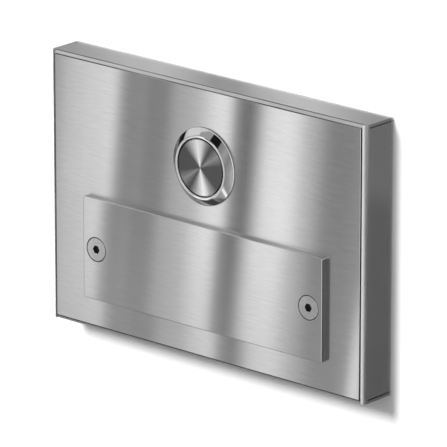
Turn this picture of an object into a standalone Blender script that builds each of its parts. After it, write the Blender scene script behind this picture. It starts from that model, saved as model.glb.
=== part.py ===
"""A surface-mounted bell panel: a flat steel housing, a front plate with a round push button and a
name plate, and the switch behind the button.

Metres, +Z up.  The wall is the plane y = 0, the panel stands out of it towards -Y, and the origin
is the middle of its back.
"""

import math

import bmesh
import bpy
from mathutils import Matrix, Vector

# Housing
WIDTH = 0.131
HEIGHT = 0.090
DEPTH = 0.013
SIDE_THICKNESS = 0.0015
WALL_THICKNESS = 0.0010
EDGE_RADIUS = 0.0020
EDGE_BEVEL = 0.0005
SEAM = 0.0003
OVERCUT = 0.001
FRONT = -DEPTH

# Front plate, the frame it rests on, and the back plate
PLATE_GROOVE = 0.0005
PLATE_THICKNESS = 0.0015
GASKET_THICKNESS = 0.0008
GASKET_WIDTH = 0.0025
GASKET_MARGIN = 0.0008
FRAME_THICKNESS = 0.0010
FRAME_WIDTH = 0.0035
BACK_THICKNESS = 0.0010

# Name plate and the two screws that hold it and the front plate
NAME_WIDTH = 0.100
NAME_HEIGHT = 0.034
NAME_THICKNESS = 0.0017
NAME_CORNER = 0.0006
NAME_MIDDLE_Z = -0.0173
SCREW_X = 0.0445
SCREW_HEAD_RADIUS = 0.00387
SCREW_SHANK_RADIUS = 0.0020
SCREW_LENGTH = 0.0082
SCREW_CHAMFER = 0.0005
SCREW_CLEARANCE = 0.0004
SOCKET_WIDTH = 0.0025
SOCKET_DEPTH = 0.0012
STANDOFF_RADIUS = 0.0035

# Way in for the wires, and the slots for the wall screws
CABLE_Z = -0.012
CABLE_HOLE_RADIUS = 0.0060
GROMMET_BORE_RADIUS = 0.0032
GROMMET_FLANGE_RADIUS = 0.0080
GROMMET_FLANGE_THICKNESS = 0.0015
GROMMET_FLANGE_CHAMFER = 0.0008
GROMMET_INSET = 0.0002
SLOT_X = 0.052
SLOT_LENGTH = 0.012
SLOT_WIDTH = 0.005
SLOT_FLAT = 0.0002

# Push button
BUTTON_Z = 0.019
TRAVEL = 0.0012
CAP_RADIUS = 0.00915
CAP_THICKNESS = 0.0020
CAP_PROUD = 0.0021
CAP_EDGE = 0.0002
CAP_GROOVE_START = 0.0006
CAP_GROOVE_WIDTH = 0.0010
CAP_GROOVE_DEPTH = 0.0009
CAP_SEAL_SECTION = 0.0003
LIP_PROUD = 0.0023
LIP_START = 0.0003
LIP_WIDTH = 0.0005
LIP_EDGE = 0.0002
BEZEL_RIM = 0.0006
SEAL_GROOVE_WIDTH = 0.0007
SEAL_GROOVE_DEPTH = 0.0006
FLANGE_SEAL_SECTION = 0.0002
FLANGE_SEAL_DEPTH = 0.00025
BARREL_CHAMFER = 0.0004
BORE_RADIUS = 0.0095
BARREL_RADIUS = 0.0110
BEZEL_RADIUS = 0.0127
BARREL_END = -0.0050
FLOOR_FRONT = -0.0082
FLOOR_THICKNESS = 0.0010
STEM_RADIUS = 0.0018
STEM_HEAD_RADIUS = 0.0042
STEM_HEAD_THICKNESS = 0.0008
CLIP_RADIUS = 0.0038
CLIP_THICKNESS = 0.0006
SPRING_RADIUS = 0.0030
SPRING_WIRE_RADIUS = 0.00022
SPRING_TURNS = 3.5
SPRING_FLAT_TURNS = 0.75
NUT_ACROSS_FLATS = 0.027
NUT_THICKNESS = 0.0030
WASHER_THICKNESS = 0.0006
WASHER_RADIUS = 0.0145

# Switch behind the button
BLOCK_HALF_WIDTH = 0.0110
BLOCK_HALF_HEIGHT = 0.0080
BLOCK_END = -0.0030
COVER_FRONT = -0.0020
COVER_END = -0.0013
CAVITY_RADIUS = 0.0045
BRIDGE_HALF_LENGTH = 0.0038
BRIDGE_HALF_WIDTH = 0.0015
STRIP_THICKNESS = 0.0004
STRIP_HALF_WIDTH = 0.0025
STRIP_INNER_X = 0.0012
STRIP_OUTER_X = 0.0170
TERMINAL_X = 0.0145
TERMINAL_SCREW_RADIUS = 0.0012
TERMINAL_HEAD_RADIUS = 0.0022
TERMINAL_HEAD_THICKNESS = 0.0007
TERMINAL_SLOT_WIDTH = 0.0006
TERMINAL_SLOT_DEPTH = 0.0004
CLAMP_RADIUS = 0.0024
CLAMP_THICKNESS = 0.0016

PLATE_BACK = FRONT + PLATE_THICKNESS
STEM_END = BLOCK_END - TRAVEL - STRIP_THICKNESS - SEAM
NAME_FRONT = FRONT - SEAM - NAME_THICKNESS
FINE = 64
MEDIUM = 32
SMALL = 20
SECTION_STEPS = 8
SMOOTH_BELOW = math.radians(35)

STEEL = ("brushed_steel", (0.62, 0.62, 0.63), 0.32, 1.0)
POLISHED = ("polished_steel", (0.78, 0.78, 0.79), 0.08, 1.0)
SPUN = ("spun_steel", (0.70, 0.70, 0.71), 0.22, 1.0)
ZINC = ("zinc_plate", (0.58, 0.60, 0.62), 0.38, 1.0)
SPRING_STEEL = ("spring_steel", (0.45, 0.45, 0.46), 0.30, 1.0)
BRASS = ("brass", (0.80, 0.62, 0.30), 0.28, 1.0)
RUBBER = ("black_rubber", (0.03, 0.03, 0.03), 0.80, 0.0)
PLASTIC = ("black_plastic", (0.05, 0.05, 0.055), 0.50, 0.0)
PALE_PLASTIC = ("pale_plastic", (0.75, 0.75, 0.72), 0.45, 0.0)


def clear_scene():
    for found in list(bpy.data.objects):
        bpy.data.objects.remove(found, do_unlink=True)


def finish_of(look):
    """The material of this name, made once and then shared."""
    name, colour, roughness, metallic = look
    material = bpy.data.materials.get(name)
    if material is None:
        material = bpy.data.materials.new(name)
        material.use_nodes = True
        shader = material.node_tree.nodes["Principled BSDF"]
        shader.inputs["Base Color"].default_value = (*colour, 1.0)
        shader.inputs["Roughness"].default_value = roughness
        shader.inputs["Metallic"].default_value = metallic
        material.diffuse_color = (*colour, 1.0)
    return material


def piece(name, shape, look, middle=(0.0, 0.0, 0.0), smooth=False):
    """Turns a bmesh into an object.  Its origin is the point given as its middle."""
    bmesh.ops.recalc_face_normals(shape, faces=shape.faces)
    mesh = bpy.data.meshes.new(name)
    shape.to_mesh(mesh)
    shape.free()
    if smooth:
        mesh.shade_smooth()
        mesh.set_sharp_from_angle(angle=SMOOTH_BELOW)
    if look is not None:
        mesh.materials.append(finish_of(look))
    made = bpy.data.objects.new(name, mesh)
    made.location = middle
    bpy.context.scene.collection.objects.link(made)
    return made


def cut(target, cutter):
    """Takes the cutter's shape out of the target."""
    cutter.hide_render = True
    cutter.display_type = "WIRE"
    modifier = target.modifiers.new("cut_" + cutter.name, "BOOLEAN")
    modifier.operation = "DIFFERENCE"
    modifier.solver = "EXACT"
    modifier.object = cutter


def add_box(shape, low, high):
    size = Vector(high) - Vector(low)
    place = Matrix.Translation((Vector(low) + Vector(high)) / 2)
    bmesh.ops.create_cube(shape, size=1.0, matrix=place @ Matrix.Diagonal((*size, 1.0)))


def box(low, high):
    shape = bmesh.new()
    add_box(shape, low, high)
    return shape


def add_prism(shape, outline, start, end, axis):
    """Pulls a flat outline from start to end along X, Y or Z.  The outline gives the other two."""
    def point(first, second, along):
        values = [first, second]
        values.insert("XYZ".index(axis), along)
        return values

    near = [shape.verts.new(point(a, b, start)) for a, b in outline]
    far = [shape.verts.new(point(a, b, end)) for a, b in outline]
    shape.faces.new(near)
    shape.faces.new(list(reversed(far)))
    for index in range(len(outline)):
        after = (index + 1) % len(outline)
        shape.faces.new((near[index], far[index], far[after], near[after]))


def prism(outline, start, end, axis="Y"):
    shape = bmesh.new()
    add_prism(shape, outline, start, end, axis)
    return shape


def add_turned(shape, profile, steps, middle_x=0.0, middle_z=0.0):
    """Turns a profile of (radius, y) points round an axis that runs along Y.

    A profile that starts and ends at radius 0 makes a solid body, any other one makes a ring.
    """
    rings = []
    for radius, y in profile:
        if radius == 0.0:
            rings.append([shape.verts.new((middle_x, y, middle_z))])
            continue
        ring = []
        for step in range(steps):
            angle = 2 * math.pi * step / steps
            x = middle_x + radius * math.cos(angle)
            z = middle_z + radius * math.sin(angle)
            ring.append(shape.verts.new((x, y, z)))
        rings.append(ring)
    pairs = list(zip(rings, rings[1:]))
    if profile[0][0] > 0.0:
        pairs.append((rings[-1], rings[0]))
    for first, second in pairs:
        for step in range(steps):
            after = (step + 1) % steps
            corners = [first[step % len(first)], first[after % len(first)]]
            corners += [second[after % len(second)], second[step % len(second)]]
            shape.faces.new(list(dict.fromkeys(corners)))


def turned(profile, steps, middle_x=0.0, middle_z=0.0):
    shape = bmesh.new()
    add_turned(shape, profile, steps, middle_x, middle_z)
    return shape


def circle(radius, steps, middle_x=0.0, middle_z=0.0, start_angle=0.0):
    points = []
    for step in range(steps):
        angle = start_angle + 2 * math.pi * step / steps
        points.append((middle_x + radius * math.cos(angle), middle_z + radius * math.sin(angle)))
    return points


def hexagon(across_flats, middle_x=0.0, middle_z=0.0):
    """A hexagon with two of its corners on the X axis."""
    return circle(across_flats / 2 / math.cos(math.pi / 6), 6, middle_x, middle_z)


def rounded_rectangle(half_width, half_height, radius, middle_x=0.0, middle_z=0.0, steps=6):
    points = []
    for corner in range(4):
        side = math.copysign(1.0, math.cos(math.pi / 4 + corner * math.pi / 2))
        level = math.copysign(1.0, math.sin(math.pi / 4 + corner * math.pi / 2))
        centre_x = middle_x + side * (half_width - radius)
        centre_z = middle_z + level * (half_height - radius)
        for step in range(steps + 1):
            angle = (corner + step / steps) * math.pi / 2
            x = centre_x + radius * math.cos(angle)
            z = centre_z + radius * math.sin(angle)
            points.append((x, z))
    return points


def ring_plate(outer, inner, start, end):
    """A flat rectangular ring.  outer and inner are its half width and half height."""
    shape = bmesh.new()
    rows = []
    for half, y in ((outer, start), (inner, start), (inner, end), (outer, end)):
        corners = ((1, 1), (-1, 1), (-1, -1), (1, -1))
        rows.append([shape.verts.new((a * half[0], y, b * half[1])) for a, b in corners])
    for first, second in zip(rows, rows[1:] + rows[:1]):
        for index in range(4):
            after = (index + 1) % 4
            shape.faces.new((first[index], first[after], second[after], second[index]))
    return shape


def make_side_wall(name, side):
    """A side of the housing.  Its front edge is rounded and runs the full height, and behind that
    the wall is lower, so that the top and bottom walls lie over its ends."""
    outer = WIDTH / 2
    centre = (outer - EDGE_RADIUS, FRONT + EDGE_RADIUS)
    first = -math.acos((EDGE_RADIUS - SIDE_THICKNESS) / EDGE_RADIUS)
    steps = 10
    outline = [(outer - SIDE_THICKNESS, 0.0)]
    for step in range(steps + 1):
        angle = first * (1 - step / steps)
        x = centre[0] + EDGE_RADIUS * math.cos(angle)
        outline.append((x, centre[1] + EDGE_RADIUS * math.sin(angle)))
    outline.append((outer, 0.0))
    outline = [(side * x, y) for x, y in outline]
    wall = piece(name, prism(outline, -HEIGHT / 2, HEIGHT / 2, "Z"), STEEL, smooth=True)
    shoulder = HEIGHT / 2 - WALL_THICKNESS - SEAM
    ends = bmesh.new()
    for level in (-1, 1):
        low_z, high_z = sorted((level * shoulder, level * (HEIGHT / 2 + OVERCUT)))
        low_x, high_x = sorted((side * (outer - 2 * SIDE_THICKNESS), side * (outer + OVERCUT)))
        add_box(ends, (low_x, FRONT + EDGE_RADIUS, low_z), (high_x, OVERCUT, high_z))
    cut(wall, piece(name + "_ends", ends, None))


def make_flat_wall(name, level):
    """The top or the bottom of the housing: a flat sheet with a ground front edge, notched where
    the rounded edges of the side walls come through."""
    outer = level * HEIGHT / 2
    inner = level * (HEIGHT / 2 - WALL_THICKNESS)
    outline = [(FRONT, inner), (0.0, inner), (0.0, outer), (FRONT + EDGE_BEVEL, outer)]
    wall = piece(name, prism(outline, -WIDTH / 2, WIDTH / 2, "X"), STEEL)
    notch_x = WIDTH / 2 - SIDE_THICKNESS - SEAM
    low_z, high_z = sorted((inner - level * OVERCUT, outer + level * OVERCUT))
    notches = bmesh.new()
    for side in (-1, 1):
        low_x, high_x = sorted((side * notch_x, side * (WIDTH / 2 + OVERCUT)))
        low = (low_x, FRONT - OVERCUT, low_z)
        add_box(notches, low, (high_x, FRONT + EDGE_RADIUS + SEAM, high_z))
    cut(wall, piece(name + "_notches", notches, None))


def make_support_frame():
    """The frame inside the housing that the front plate lies on, and the gasket between them."""
    half_width = WIDTH / 2 - SIDE_THICKNESS
    half_height = HEIGHT / 2 - WALL_THICKNESS
    gasket_outer = (half_width - GASKET_MARGIN, half_height - GASKET_MARGIN)
    gasket_inner = (gasket_outer[0] - GASKET_WIDTH, gasket_outer[1] - GASKET_WIDTH)
    gasket_front = PLATE_BACK + SEAM
    gasket_back = gasket_front + GASKET_THICKNESS
    piece("plate_gasket", ring_plate(gasket_outer, gasket_inner, gasket_front, gasket_back), RUBBER)
    outer = (half_width - SEAM, half_height - SEAM)
    inner = (outer[0] - FRAME_WIDTH, outer[1] - FRAME_WIDTH)
    frame_front = gasket_back + SEAM
    frame_back = frame_front + FRAME_THICKNESS
    piece("support_frame", ring_plate(outer, inner, frame_front, frame_back), ZINC)


def make_front_plate():
    half_width = WIDTH / 2 - SIDE_THICKNESS - PLATE_GROOVE
    half_height = HEIGHT / 2 - WALL_THICKNESS - PLATE_GROOVE
    outline = [(half_width, half_height), (-half_width, half_height)]
    outline += [(-half_width, -half_height), (half_width, -half_height)]
    plate = piece("front_plate", prism(outline, FRONT, PLATE_BACK), STEEL)
    holes = bmesh.new()
    button_hole = circle(BARREL_RADIUS + SEAM, FINE, 0.0, BUTTON_Z)
    add_prism(holes, button_hole, FRONT - OVERCUT, PLATE_BACK + OVERCUT, "Y")
    for side in (-1, 1):
        radius = SCREW_SHANK_RADIUS + SCREW_CLEARANCE
        screw_hole = circle(radius, SMALL, side * SCREW_X, NAME_MIDDLE_Z)
        add_prism(holes, screw_hole, FRONT - OVERCUT, PLATE_BACK + OVERCUT, "Y")
    cut(plate, piece("front_plate_holes", holes, None))


def make_name_plate():
    outline = rounded_rectangle(NAME_WIDTH / 2, NAME_HEIGHT / 2, NAME_CORNER, 0.0, NAME_MIDDLE_Z)
    name_back = NAME_FRONT + NAME_THICKNESS
    plate = piece("name_plate", prism(outline, NAME_FRONT, name_back), STEEL)
    mouth = SCREW_HEAD_RADIUS + SEAM
    foot = mouth - NAME_THICKNESS
    profile = [(0.0, NAME_FRONT - OVERCUT), (mouth + OVERCUT, NAME_FRONT - OVERCUT)]
    profile += [(foot - OVERCUT, name_back + OVERCUT), (0.0, name_back + OVERCUT)]
    sinks = bmesh.new()
    for side in (-1, 1):
        add_turned(sinks, profile, MEDIUM, side * SCREW_X, NAME_MIDDLE_Z)
    cut(plate, piece("name_plate_sinks", sinks, None))


def make_name_plate_screw(end, side):
    """A countersunk screw with a hexagon socket, and the threaded post that it goes into."""
    neck = NAME_FRONT + SCREW_HEAD_RADIUS - SCREW_SHANK_RADIUS
    tip = NAME_FRONT + SCREW_LENGTH
    profile = [(0.0, NAME_FRONT), (SCREW_HEAD_RADIUS, NAME_FRONT), (SCREW_SHANK_RADIUS, neck)]
    profile += [(SCREW_SHANK_RADIUS, tip - SCREW_CHAMFER)]
    profile += [(SCREW_SHANK_RADIUS - SCREW_CHAMFER, tip), (0.0, tip)]
    middle = (side * SCREW_X, 0.0, NAME_MIDDLE_Z)
    shape = turned(profile, MEDIUM)
    screw = piece("name_plate_screw_" + end, shape, POLISHED, middle, smooth=True)
    socket = prism(hexagon(SOCKET_WIDTH), NAME_FRONT - OVERCUT, NAME_FRONT + SOCKET_DEPTH)
    cut(screw, piece("name_plate_socket_" + end, socket, None, middle))
    bore = SCREW_SHANK_RADIUS + SEAM
    post_front = PLATE_BACK + SEAM
    post_back = -BACK_THICKNESS - SEAM
    bore_end = tip + OVERCUT
    post = [(0.0, bore_end), (bore, bore_end), (bore, post_front), (STANDOFF_RADIUS, post_front)]
    post += [(STANDOFF_RADIUS, post_back), (0.0, post_back)]
    piece("threaded_post_" + end, turned(post, SMALL), ZINC, middle, smooth=True)


def make_back_plate():
    half_width = WIDTH / 2 - SIDE_THICKNESS - SEAM
    half_height = HEIGHT / 2 - WALL_THICKNESS - SEAM
    outline = [(half_width, half_height), (-half_width, half_height)]
    outline += [(-half_width, -half_height), (half_width, -half_height)]
    plate = piece("back_plate", prism(outline, -BACK_THICKNESS, 0.0), ZINC)
    holes = bmesh.new()
    cable_hole = circle(CABLE_HOLE_RADIUS, MEDIUM, 0.0, CABLE_Z)
    add_prism(holes, cable_hole, -BACK_THICKNESS - OVERCUT, OVERCUT, "Y")
    for side in (-1, 1):
        half_width = SLOT_WIDTH / 2
        corner = SLOT_WIDTH / 2 - SLOT_FLAT / 2
        slot = rounded_rectangle(half_width, SLOT_LENGTH / 2, corner, side * SLOT_X)
        add_prism(holes, slot, -BACK_THICKNESS - OVERCUT, OVERCUT, "Y")
    cut(plate, piece("back_plate_holes", holes, None))


def make_cable_grommet():
    """A soft ring in the back plate, pushed in from the inside, for the bell wire."""
    neck = CABLE_HOLE_RADIUS - SEAM
    seat = -BACK_THICKNESS - SEAM
    end = seat - GROMMET_FLANGE_THICKNESS
    profile = [(GROMMET_BORE_RADIUS, -GROMMET_INSET), (neck, -GROMMET_INSET), (neck, seat)]
    profile += [(GROMMET_FLANGE_RADIUS, seat)]
    profile += [(GROMMET_FLANGE_RADIUS, end + GROMMET_FLANGE_CHAMFER)]
    profile += [(GROMMET_FLANGE_RADIUS - GROMMET_FLANGE_CHAMFER, end)]
    profile += [(GROMMET_BORE_RADIUS, end)]
    piece("cable_grommet", turned(profile, MEDIUM, 0.0, CABLE_Z), RUBBER, smooth=True)


def seal_profile(radius, y, section):
    """The round section of a sealing ring."""
    profile = []
    for step in range(SECTION_STEPS):
        angle = 2 * math.pi * step / SECTION_STEPS
        profile.append((radius + section * math.cos(angle), y - section * math.sin(angle)))
    return profile


def make_button_housing():
    """The fixed part of the button: a conical bezel in front of the plate and a threaded barrel
    behind it, with a floor that the return spring stands on."""
    lip = FRONT - LIP_PROUD
    seat = FRONT - SEAM
    groove_inner = BARREL_RADIUS + SEAM
    groove_outer = groove_inner + SEAL_GROOVE_WIDTH
    groove_floor = seat - SEAL_GROOVE_DEPTH
    lip_inner = BORE_RADIUS + LIP_START
    floor_back = FLOOR_FRONT + FLOOR_THICKNESS
    profile = [
        (BORE_RADIUS, lip + LIP_EDGE),
        (lip_inner, lip),
        (lip_inner + LIP_WIDTH, lip),
        (BEZEL_RADIUS - LIP_EDGE, seat - BEZEL_RIM),
        (BEZEL_RADIUS, seat - BEZEL_RIM / 2),
        (BEZEL_RADIUS, seat),
        (groove_outer, seat),
        (groove_outer, groove_floor),
        (groove_inner, groove_floor),
        (groove_inner, seat),
        (BARREL_RADIUS, seat),
        (BARREL_RADIUS, BARREL_END - BARREL_CHAMFER),
        (BARREL_RADIUS - BARREL_CHAMFER, BARREL_END),
        (BORE_RADIUS, BARREL_END),
        (BORE_RADIUS, floor_back),
        (STEM_RADIUS + SEAM, floor_back),
        (STEM_RADIUS + SEAM, FLOOR_FRONT),
        (BORE_RADIUS, FLOOR_FRONT),
    ]
    shape = turned(profile, FINE)
    piece("button_housing", shape, POLISHED, (0.0, 0.0, BUTTON_Z), smooth=True)
    middle = (groove_inner + groove_outer) / 2
    seal = seal_profile(middle, seat - FLANGE_SEAL_DEPTH, FLANGE_SEAL_SECTION)
    piece("flange_seal", turned(seal, FINE), RUBBER, (0.0, 0.0, BUTTON_Z), smooth=True)


def make_button_fixing():
    """The washer and the nut that hold the button in the front plate."""
    washer_front = PLATE_BACK + SEAM
    washer_back = washer_front + WASHER_THICKNESS
    bore = BARREL_RADIUS + SEAM
    profile = [(bore, washer_front), (WASHER_RADIUS, washer_front)]
    profile += [(WASHER_RADIUS, washer_back), (bore, washer_back)]
    washer = turned(profile, MEDIUM)
    piece("lock_washer", washer, ZINC, (0.0, 0.0, BUTTON_Z), smooth=True)
    nut_front = washer_back + SEAM
    nut_back = nut_front + NUT_THICKNESS
    middle = (0.0, 0.0, BUTTON_Z)
    nut = piece("fixing_nut", prism(hexagon(NUT_ACROSS_FLATS), nut_front, nut_back), ZINC, middle)
    hole = prism(circle(bore, FINE), nut_front - OVERCUT, nut_back + OVERCUT)
    cut(nut, piece("fixing_nut_hole", hole, None, middle))


def make_moving_button(axis):
    """The cap, its seal, the plunger, the clip that keeps it in and the contact bridge on its end.

    They hang on an empty that stands on the line that the button travels along.
    """
    moving = []
    front = FRONT - CAP_PROUD
    back = front + CAP_THICKNESS
    groove_front = front + CAP_GROOVE_START
    groove_back = groove_front + CAP_GROOVE_WIDTH
    groove_floor = CAP_RADIUS - CAP_GROOVE_DEPTH
    cap = [(0.0, front), (CAP_RADIUS - CAP_EDGE, front), (CAP_RADIUS, front + CAP_EDGE)]
    cap += [(CAP_RADIUS, groove_front), (groove_floor, groove_front), (groove_floor, groove_back)]
    cap += [(CAP_RADIUS, groove_back), (CAP_RADIUS, back), (0.0, back)]
    moving.append(piece("button_cap", turned(cap, FINE), SPUN, smooth=True))
    seal_middle = CAP_RADIUS - CAP_SEAL_SECTION
    seal = seal_profile(seal_middle, (groove_front + groove_back) / 2, CAP_SEAL_SECTION)
    moving.append(piece("cap_seal", turned(seal, FINE), RUBBER, smooth=True))
    head_front = back + SEAM
    head_back = head_front + STEM_HEAD_THICKNESS
    stem = [(0.0, head_front), (STEM_HEAD_RADIUS, head_front), (STEM_HEAD_RADIUS, head_back)]
    stem += [(STEM_RADIUS, head_back), (STEM_RADIUS, STEM_END), (0.0, STEM_END)]
    moving.append(piece("plunger", turned(stem, SMALL), PALE_PLASTIC, smooth=True))
    clip_front = FLOOR_FRONT + FLOOR_THICKNESS + SEAM
    clip_back = clip_front + CLIP_THICKNESS
    clip_inner = STEM_RADIUS + SEAM
    clip = [(clip_inner, clip_front), (CLIP_RADIUS, clip_front)]
    clip += [(CLIP_RADIUS, clip_back), (clip_inner, clip_back)]
    moving.append(piece("retaining_clip", turned(clip, SMALL), SPRING_STEEL, smooth=True))
    bridge_front = STEM_END + SEAM
    low = (-BRIDGE_HALF_LENGTH, bridge_front, -BRIDGE_HALF_WIDTH)
    high = (BRIDGE_HALF_LENGTH, bridge_front + STRIP_THICKNESS, BRIDGE_HALF_WIDTH)
    moving.append(piece("contact_bridge", box(low, high), BRASS))
    for part in moving:
        part.parent = axis
    return head_back


def make_return_spring(axis, head_back):
    """A coil of round wire with flat ends, between the plunger's head and the housing's floor."""
    start = head_back + SEAM
    end = FLOOR_FRONT - SEAM
    wire = SPRING_WIRE_RADIUS
    last_turns = SPRING_TURNS - SPRING_FLAT_TURNS
    steps_per_turn = 18
    steps = int(SPRING_TURNS * steps_per_turn)
    shape = bmesh.new()
    rings = []
    for step in range(steps + 1):
        turn = step / steps_per_turn
        share = (turn - SPRING_FLAT_TURNS) / (last_turns - SPRING_FLAT_TURNS)
        share = min(max(share, 0.0), 1.0)
        lift = 2 * wire * min(turn, SPRING_FLAT_TURNS) / SPRING_FLAT_TURNS
        lift += 2 * wire * max(turn - last_turns, 0.0) / SPRING_FLAT_TURNS
        y = start + wire + lift + share * (end - start - 6 * wire)
        angle = 2 * math.pi * turn
        outward = Vector((math.cos(angle), 0.0, math.sin(angle)))
        ring = []
        for side in range(SECTION_STEPS):
            around = 2 * math.pi * side / SECTION_STEPS
            offset = outward * (SPRING_RADIUS + wire * math.cos(around))
            ring.append(shape.verts.new((offset.x, y + wire * math.sin(around), offset.z)))
        rings.append(ring)
    for first, second in zip(rings, rings[1:]):
        for side in range(SECTION_STEPS):
            after = (side + 1) % SECTION_STEPS
            shape.faces.new((first[side], first[after], second[after], second[side]))
    shape.faces.new(rings[0])
    shape.faces.new(list(reversed(rings[-1])))
    spring = piece("return_spring", shape, SPRING_STEEL, smooth=True)
    spring.location = axis.location


def make_contact_block():
    """The moulded body of the switch, pushed into the back of the barrel, and its cover."""
    neck = BORE_RADIUS - SEAM
    front = FLOOR_FRONT + FLOOR_THICKNESS + SEAM
    shoulder = BARREL_END + SEAM
    middle = (0.0, 0.0, BUTTON_Z)
    low = (-BLOCK_HALF_WIDTH, shoulder, -BLOCK_HALF_HEIGHT)
    high = (BLOCK_HALF_WIDTH, BLOCK_END, BLOCK_HALF_HEIGHT)
    block = piece("contact_block", box(low, high), PLASTIC, middle)
    shape = prism(circle(neck, MEDIUM), front, shoulder + SEAM)
    spigot = piece("contact_block_spigot", shape, None, middle)
    spigot.hide_render = True
    spigot.display_type = "WIRE"
    joined = block.modifiers.new("spigot", "BOOLEAN")
    joined.operation = "UNION"
    joined.solver = "EXACT"
    joined.object = spigot
    cavity = prism(circle(CAVITY_RADIUS, SMALL), front - OVERCUT, BLOCK_END + OVERCUT)
    cut(block, piece("contact_block_cavity", cavity, None, middle))
    low = (-BLOCK_HALF_WIDTH, COVER_FRONT, -BLOCK_HALF_HEIGHT)
    high = (BLOCK_HALF_WIDTH, COVER_END, BLOCK_HALF_HEIGHT)
    piece("contact_cover", box(low, high), PLASTIC, middle)


def make_terminal(end, side):
    """A brass strip under the bridge.  Its outer end carries the clamp for the wire."""
    front = BLOCK_END + SEAM
    back = front + STRIP_THICKNESS
    middle = (0.0, 0.0, BUTTON_Z)
    low_x, high_x = sorted((side * STRIP_INNER_X, side * STRIP_OUTER_X))
    shape = box((low_x, front, -STRIP_HALF_WIDTH), (high_x, back, STRIP_HALF_WIDTH))
    strip = piece("terminal_" + end, shape, BRASS, middle)
    middle = (side * TERMINAL_X, 0.0, BUTTON_Z)
    hollow = TERMINAL_SCREW_RADIUS + SEAM
    hole = prism(circle(hollow, SMALL), front - OVERCUT, back + OVERCUT)
    cut(strip, piece("terminal_hole_" + end, hole, None, middle))
    clamp_back = front - SEAM
    clamp_front = clamp_back - CLAMP_THICKNESS
    head_front = back + SEAM
    head_back = head_front + TERMINAL_HEAD_THICKNESS
    profile = [(0.0, clamp_front), (TERMINAL_SCREW_RADIUS, clamp_front)]
    profile += [(TERMINAL_SCREW_RADIUS, head_front), (TERMINAL_HEAD_RADIUS, head_front)]
    profile += [(TERMINAL_HEAD_RADIUS, head_back), (0.0, head_back)]
    screw = piece("terminal_screw_" + end, turned(profile, SMALL), ZINC, middle, smooth=True)
    slot_floor = head_back - TERMINAL_SLOT_DEPTH
    low = (-2 * TERMINAL_HEAD_RADIUS, slot_floor, -TERMINAL_SLOT_WIDTH / 2)
    high = (2 * TERMINAL_HEAD_RADIUS, head_back + OVERCUT, TERMINAL_SLOT_WIDTH / 2)
    cut(screw, piece("terminal_slot_" + end, box(low, high), None, middle))
    clamp = [(hollow, clamp_front), (CLAMP_RADIUS, clamp_front)]
    clamp += [(CLAMP_RADIUS, clamp_back), (hollow, clamp_back)]
    piece("terminal_clamp_" + end, turned(clamp, SMALL), BRASS, middle, smooth=True)


def main():
    clear_scene()
    for end, side in (("left", -1), ("right", 1)):
        make_side_wall(end + "_side_wall", side)
        make_name_plate_screw(end, side)
        make_terminal(end, side)
    make_flat_wall("top_wall", 1)
    make_flat_wall("bottom_wall", -1)
    make_support_frame()
    make_front_plate()
    make_name_plate()
    make_back_plate()
    make_cable_grommet()
    make_button_housing()
    make_button_fixing()
    axis = bpy.data.objects.new("button_axis", None)
    axis.location = (0.0, 0.0, BUTTON_Z)
    bpy.context.scene.collection.objects.link(axis)
    head_back = make_moving_button(axis)
    make_return_spring(axis, head_back)
    make_contact_block()


main()
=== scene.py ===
# %% [markdown]
# # Bell panel in brushed steel
# A flat wall panel: a steel housing and a brushed front plate, with a turned push button above a
# name plate that is screwed on.  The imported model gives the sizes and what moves.  It could be
# rendered as it is, but its edges are coarse.  So every piece that can be seen is made again here
# with finer edges and its own surface, in the same place as the part it stands for.

import math

import bmesh
import bpy
from mathutils import Matrix, Vector


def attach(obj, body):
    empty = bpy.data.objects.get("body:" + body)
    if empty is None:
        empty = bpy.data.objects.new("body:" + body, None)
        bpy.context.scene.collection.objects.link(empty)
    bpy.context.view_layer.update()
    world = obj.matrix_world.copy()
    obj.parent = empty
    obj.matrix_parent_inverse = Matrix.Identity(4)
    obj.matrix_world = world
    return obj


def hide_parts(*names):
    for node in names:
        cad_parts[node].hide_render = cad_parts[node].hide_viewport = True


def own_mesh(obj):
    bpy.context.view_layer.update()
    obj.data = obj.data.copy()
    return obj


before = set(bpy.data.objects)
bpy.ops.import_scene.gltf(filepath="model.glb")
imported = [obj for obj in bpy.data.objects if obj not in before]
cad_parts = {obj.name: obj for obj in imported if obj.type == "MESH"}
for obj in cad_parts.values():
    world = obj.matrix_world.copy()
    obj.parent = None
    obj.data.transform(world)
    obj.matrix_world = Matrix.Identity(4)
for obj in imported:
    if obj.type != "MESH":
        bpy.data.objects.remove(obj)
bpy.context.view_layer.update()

MM = 0.001
WIDTH = 131.0
HEIGHT = 90.0
DEPTH = 13.0
FRONT = -DEPTH
BUTTON_Z = 19.0
SCREW_X = 44.5
NAME_Z = -17.3
NAME_FRONT = -15.0
AZIMUTH = math.radians(41.31)
ELEVATION = math.radians(17.58)

# %% [markdown]
# ## Turned pieces
# The button, its bezel and the screws come off a lathe.  A Screw modifier could turn a profile too,
# but a loop of rings closes the seam by itself and can move single points, for teeth.  Lengths are
# in millimetres until the mesh is made.  The corners of the (radius, y) profile are rounded first,
# so that every edge catches a line of light as a real one does.

# %% Mesh and lathe helpers


def add_object(name, shape, material, smooth_angle=30.0):
    bmesh.ops.recalc_face_normals(shape, faces=shape.faces)
    mesh = bpy.data.meshes.new(name)
    shape.to_mesh(mesh)
    shape.free()
    mesh.transform(Matrix.Scale(MM, 4))
    mesh.shade_smooth()
    mesh.set_sharp_from_angle(angle=math.radians(smooth_angle))
    if material is not None:
        mesh.materials.append(material)
    made = bpy.data.objects.new("fine_" + name, mesh)
    bpy.context.scene.collection.objects.link(made)
    return made


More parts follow.
